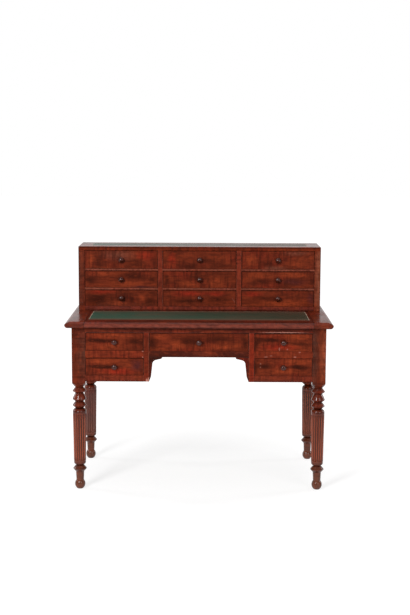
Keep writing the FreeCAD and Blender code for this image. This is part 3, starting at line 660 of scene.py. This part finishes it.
def dress_fronts(secondary):
    """Veneer on the drawer fronts, each cut from another leaf, and bare oak on the boxes behind them."""
    for number, (drawer, marks) in enumerate(FRONT_MARKS.items()):
        single = drawer in nodes
        front = drawer if single else f"{drawer}_front"
        low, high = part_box(front)
        layers = gap_shade_round(drawer, low, high) + chipped(drawer, number)
        veneer = mahogany(f"veneer_{drawer}", "X", FRONT_SEED + SEED_STEP * number,
                          marks=placed_marks(front, marks), layers=layers)
        if single:
            dress_small_drawer(drawer, veneer, secondary)
        else:
            dress([front], veneer)
            dress([f"{drawer}_box"], secondary)
        ease_edges([front])


def board_layers():
    """Pale edges, partly worn and partly painted highlight, and painted shade under the top, under the
    shelves and along undersides, on the boards between the drawers.
    """
    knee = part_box("apron_rail")[1].x
    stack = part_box("table_drawer_top_right_front")[0].x
    drawers_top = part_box("table_drawer_centre_front")[1].z
    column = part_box("upper_drawer_top_centre")[1].x
    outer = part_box("upper_drawer_top_right")[0].x
    rows = [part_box(f"upper_drawer_{name}_centre") for name in ("top", "middle", "bottom")]
    rail_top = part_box("top_rail")[1].z
    undersides = {name: (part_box(name)[0].z,) for name in ("upper_base", "side_bottom_rails", "apron_rail")}
    return {
        # Pale edges of the stiles and dividers: partly wear, partly a painted highlight where the edges
        # catch the light.
        "kneehole_stiles": [lines(SMOKE, "X", (-stack, -knee, knee, stack), reach=0.005, strength=0.8)],
        "upper_dividers": [lines(SMOKE, "X", (-outer, -column, column, outer), reach=0.005, strength=0.8)],
        "upper_shelves": [
            # On the shelves, pale top edges that are partly wear and partly painted highlight, and dark
            # lower edges painted as the shadow over the drawers below.
            lines(SMOKE, "Z", [row[0].z for row in rows[:2]], reach=0.005, strength=0.8),
            lines(DARK, "Z", [row[1].z for row in rows[1:]], reach=0.006, strength=1.2)],
        "top_rail": [
            # On the top rail, a pale lower edge, partly wear and partly painted highlight, and a dark band
            # at its top painted as the shadow under the top's overhang.
            lines(PALE, "Z", (drawers_top,), reach=0.003, strength=0.30),
            lines(DARK, "Z", (rail_top,), reach=0.014, strength=0.6)],
        # Painted shade along the undersides of the upper case's base, the bottom rails and the apron; under
        # the base it is the shadow where the case meets the writing top.
        "upper_base": [lines(DARK, "Z", undersides["upper_base"], reach=0.008, strength=1.0)],
        "side_bottom_rails": [lines(DARK, "Z", undersides["side_bottom_rails"], reach=0.007, strength=0.9)],
        "apron_rail": [lines(DARK, "Z", undersides["apron_rail"], reach=0.014, strength=0.9)],
    }


def dress_boards(secondary):
    """Rails, stiles, dividers, shelves and panels."""
    dress(HIDDEN_BOARDS, secondary)
    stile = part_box("kneehole_stiles")[1].x
    marks = {"kneehole_stiles": [
        Mark(DARK, (-stile, TABLE_MIDDLE), reach=(0.05, 0.30), strength=0.14),
        Mark(RED, (stile, TABLE_MIDDLE), reach=(0.05, 0.30), strength=0.45)]}
    # The layers of each board: pale edges, partly worn and partly painted highlight, and painted shade along
    # undersides and under overhangs.
    wear = board_layers()
    for number, name in enumerate(LEVEL_BOARDS + UPRIGHT_BOARDS):
        layers = wear.get(name, []) + chipped(name, CHIP_SEED + number)
        axis = "X" if name in LEVEL_BOARDS else "Z"
        wood = mahogany(f"wood_{name}", axis, BOARD_SEED + SEED_STEP * number, BOARD_TONES[name],
                        marks=marks.get(name, ()), layers=layers)
        dress([name], wood)
    dress(["table_ends"], mahogany("wood_table_ends", "Y", seed=310))
    ease_edges(LEVEL_BOARDS + UPRIGHT_BOARDS + ("table_ends", "table_back", "upper_back_board"))


def dress_upper_ends():
    """The ends of the upper case: to the front darker to the left, paler to the right partly as a painted
    highlight on that edge, with painted shade down the front corners; plain mahogany on their sides.
    """
    left, right = (corner.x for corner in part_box("upper_ends"))
    # Darker to the left; paler to the right, partly a painted highlight on that edge.
    marks = [
        Mark(GREY_BROWN, (left, UPPER_MIDDLE), reach=(0.040, 0.30), strength=0.5),
        Mark(TAWNY, (right, UPPER_MIDDLE), reach=(0.034, 0.30), strength=1.0)]
    # Painted shade down the rounded front corners.
    corner_shade = lines(DARK, "X", (left, right), reach=0.006, strength=0.9)
    front = mahogany("wood_upper_ends", "Z", seed=300, marks=marks, layers=[corner_shade])
    dress(["upper_ends"], front, mahogany("wood_upper_sides", "Z", seed=305))
    use_second("upper_ends", lambda face: abs(face.normal.x) > SIDE_FACING)
    ease_edges(["upper_ends"])


def block_marks(low, high):
    """Darker inner sides of a leg's block, and on the right a paler outer side."""
    if low.x < 0:
        return [Mark(GREY_BROWN, (high.x, TABLE_MIDDLE), reach=(0.050, 0.20), strength=0.7)]
    return [
        Mark(GREY_BROWN, (low.x, TABLE_MIDDLE), reach=(0.036, 0.30), strength=0.9),
        Mark(TAN_BROWN, (high.x, TABLE_MIDDLE), reach=(0.034, 0.20), strength=0.5)]


def dress_legs():
    """Turned legs: darker inner sides of the blocks, painted shade in the hollows, at the shoulders and
    along the flutes, painted highlight on the ridges, and paler wood towards the feet.
    """
    # Dark bands at the ring and at both ends of the shaft: painted shade at the shoulders.
    shoulder_shade = lines(DARK, "Z", (RING_HEIGHT, SHAFT_FOOT[0], SHAFT_HEAD[0]), reach=0.020, strength=0.6)
    for number, (name, ridge_highlight) in enumerate(RIDGE_HIGHLIGHTS.items()):
        low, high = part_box(name)
        layers = [dusty_feet, painted_hollow_shade, shoulder_shade, fluted((low + high) / 2, ridge_highlight)]
        wood = mahogany(f"wood_{name}", "Z", LEG_SEED + SEED_STEP * number, BLOCK,
                        marks=block_marks(low, high), layers=layers, gloss=0.5)
        dress([name], wood)


def dress_tops():
    """The boards of both tops, with dark seams beside the writing slide."""
    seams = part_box("top_board_left")[1].x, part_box("top_board_right")[0].x
    lip_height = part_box("upper_top_board")[1].z - LIP_DROP
    dirt_and_shade = lines(DARK, "X", seams, reach=0.0036, strength=1.1)
    nosing = lines(NOSING, "Z", (NOSING_MIDDLE,), reach=0.014, strength=1.0)
    lip = lines(DARK, "Z", (lip_height,), reach=0.0045, strength=0.9)
    slide = mahogany("wood_slide", "X", seed=600, base=SLIDE, layers=[dirt_and_shade, nosing], gloss=0.3)
    left = mahogany("wood_top_left", "Y", seed=610, layers=[dirt_and_shade], gloss=0.27)
    right = mahogany("wood_top_right", "Y", seed=615, layers=[dirt_and_shade], gloss=0.18)
    broad = mahogany("wood_tops", "X", seed=620, layers=[lip], gloss=0.31)
    dress(["writing_slide"], slide)
    dress(["top_board_left"], left)
    dress(["top_board_right"], right)
    dress(["top_board_rear", "upper_top_board"], broad)


def corners(low, high, inset):
    """The four corners of a rectangle drawn in from a box's sides."""
    left, right = low.x + inset, high.x - inset
    front, back = low.y + inset, high.y - inset
    return ((left, front), (right, front), (right, back), (left, back))


def leather_sheet(node, body, line, finish):
    """A leather let into its board: eased edge, pale tooled line and a fine groove inside it."""
    low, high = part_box(node)
    rings = [
        (0.0, low.z), (0.0, high.z - LEATHER_EASE), (LEATHER_EASE, high.z),
        (LEATHER_LINE, high.z), (LEATHER_LINE + GROOVE_WIDTH, high.z - GROOVE_DEPTH),
        (LEATHER_LINE + 2 * GROOVE_WIDTH, high.z)]
    shape = bmesh.new()
    loops = [[shape.verts.new((x, y, z)) for x, y in corners(low, high, inset)] for inset, z in rings]
    shape.faces.new(reversed(loops[0]))
    for number, (outer, inner) in enumerate(zip(loops, loops[1:])):
        for side in range(4):
            after = (side + 1) % 4
            face = shape.faces.new((outer[side], outer[after], inner[after], inner[side]))
            face.material_index = int(number in TOOLED_BANDS)
    shape.faces.new(loops[-1])
    mesh = bpy.data.meshes.new(f"{node}_sheet")
    shape.to_mesh(mesh)
    shape.free()
    sheet = bpy.data.objects.new(f"{node}_sheet", mesh)
    bpy.context.scene.collection.objects.link(sheet)
    mesh.materials.append(leather(node, finish))
    mesh.materials.append(line)
    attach(sheet, body)
    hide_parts(node)


def dress_desk():
    """Materials for every node of the desk, and its two leathers."""
    secondary = oak()
    dress_fronts(secondary)
    dress_boards(secondary)
    dress_upper_ends()
    dress_legs()
    dress_tops()
    dress([name for name in nodes if name.endswith("_knob")], knob_wood())
    line = tooled_line()
    leather_sheet("writing_leather", "writing_slide", line, WRITING_FINISH)
    leather_sheet("upper_leather", "case", line, UPPER_FINISH)


def softbox(lamp):
    """A soft rectangular lamp that faces the desk."""
    light = bpy.data.lights.new(lamp.name, "AREA")
    light.shape = "RECTANGLE"
    light.size = lamp.width
    light.size_y = lamp.height
    light.energy = lamp.power
    item = bpy.data.objects.new(lamp.name, light)
    item.location = lamp.place
    item.rotation_euler = (LAMP_TARGET - Vector(lamp.place)).to_track_quat("-Z", "Y").to_euler()
    bpy.context.scene.collection.objects.link(item)


def studio_world():
    """A pale room behind the desk and a dim one before it, with a backdrop that looks plain white.

    The camera and clear things see white all round, and reflections see it behind the desk.
    """
    world = bpy.data.worlds.new("studio")
    world.use_nodes = True
    bpy.context.scene.world = world
    room = Tree(world.node_tree)
    rays = room.add("ShaderNodeLightPath").outputs
    heading = room.add("ShaderNodeTexCoord").outputs["Generated"]
    depth = room.add("ShaderNodeSeparateXYZ", {0: heading}).outputs["Y"]
    back = room.ramp(rays["Is Glossy Ray"], 0.0, 1.0, BACK_LEVEL, BACK_MIRRORED)
    level = room.ramp(depth, *ROOM_TURN, FRONT_LEVEL, back)
    straight = room.reckon("MAXIMUM", rays["Is Camera Ray"], rays["Is Transmission Ray"])
    background = world.node_tree.nodes["Background"].inputs
    room.feed(background["Color"], WHITE)
    room.feed(background["Strength"], room.reckon("MAXIMUM", level, straight))


def floor():
    """A pale floor with the desk's soft shadow, lifted to white where it is looked at or mirrored."""
    mesh = bpy.data.meshes.new("floor")
    outline = [(-FLOOR_HALF, FLOOR_FRONT, 0), (FLOOR_HALF, FLOOR_FRONT, 0),
               (FLOOR_HALF, FLOOR_BACK, 0), (-FLOOR_HALF, FLOOR_BACK, 0)]
    mesh.from_pydata(outline, [], [(0, 1, 2, 3)])
    item = bpy.data.objects.new("floor", mesh)
    bpy.context.scene.collection.objects.link(item)
    paint = Paint("pale_floor")
    paint.tree.nodes.remove(paint.surface)
    paper = paint.add("ShaderNodeBsdfDiffuse", {"Color": PAPER})
    shaded = paint.add("ShaderNodeBsdfDiffuse", {"Color": LIFTED_PAPER})
    away = paint.reckon_vectors("LENGTH", paint.place)["Value"]
    lift = paint.add("ShaderNodeEmission", {"Strength": paint.ramp(away, *LIFT_REACH, *LIFT_LEVELS)})
    seen = paint.add("ShaderNodeAddShader", {0: shaded.outputs[0], 1: lift.outputs[0]})
    rays = paint.add("ShaderNodeLightPath").outputs
    straight = paint.reckon("MAXIMUM", rays["Is Camera Ray"], rays["Is Transmission Ray"])
    looked_at = paint.reckon("MAXIMUM", straight, rays["Is Glossy Ray"])
    choice = paint.add("ShaderNodeMixShader", {0: looked_at, 1: paper.outputs[0], 2: seen.outputs[0]})
    paint.feed(paint.tree.nodes["Material Output"].inputs["Surface"], choice.outputs[0])
    mesh.materials.append(paint.material)


def camera():
    """The camera of the photograph, tilted down and a little askew."""
    lens = bpy.data.cameras.new("camera")
    lens.sensor_width = SENSOR
    lens.lens = FOCAL_PIXELS / max(IMAGE_WIDTH, IMAGE_HEIGHT) * SENSOR
    item = bpy.data.objects.new("camera", lens)
    item.matrix_world = (Matrix.Translation(CAMERA_PLACE)
                         @ Matrix.Rotation(math.pi / 2 - CAMERA_PITCH, 4, "X")
                         @ Matrix.Rotation(CAMERA_ROLL, 4, "Z"))
    bpy.context.scene.collection.objects.link(item)
    bpy.context.scene.camera = item


bpy.context.scene.view_settings.view_transform = "Standard"
dress_desk()
for lamp in LAMPS:
    softbox(lamp)
studio_world()
floor()
camera()
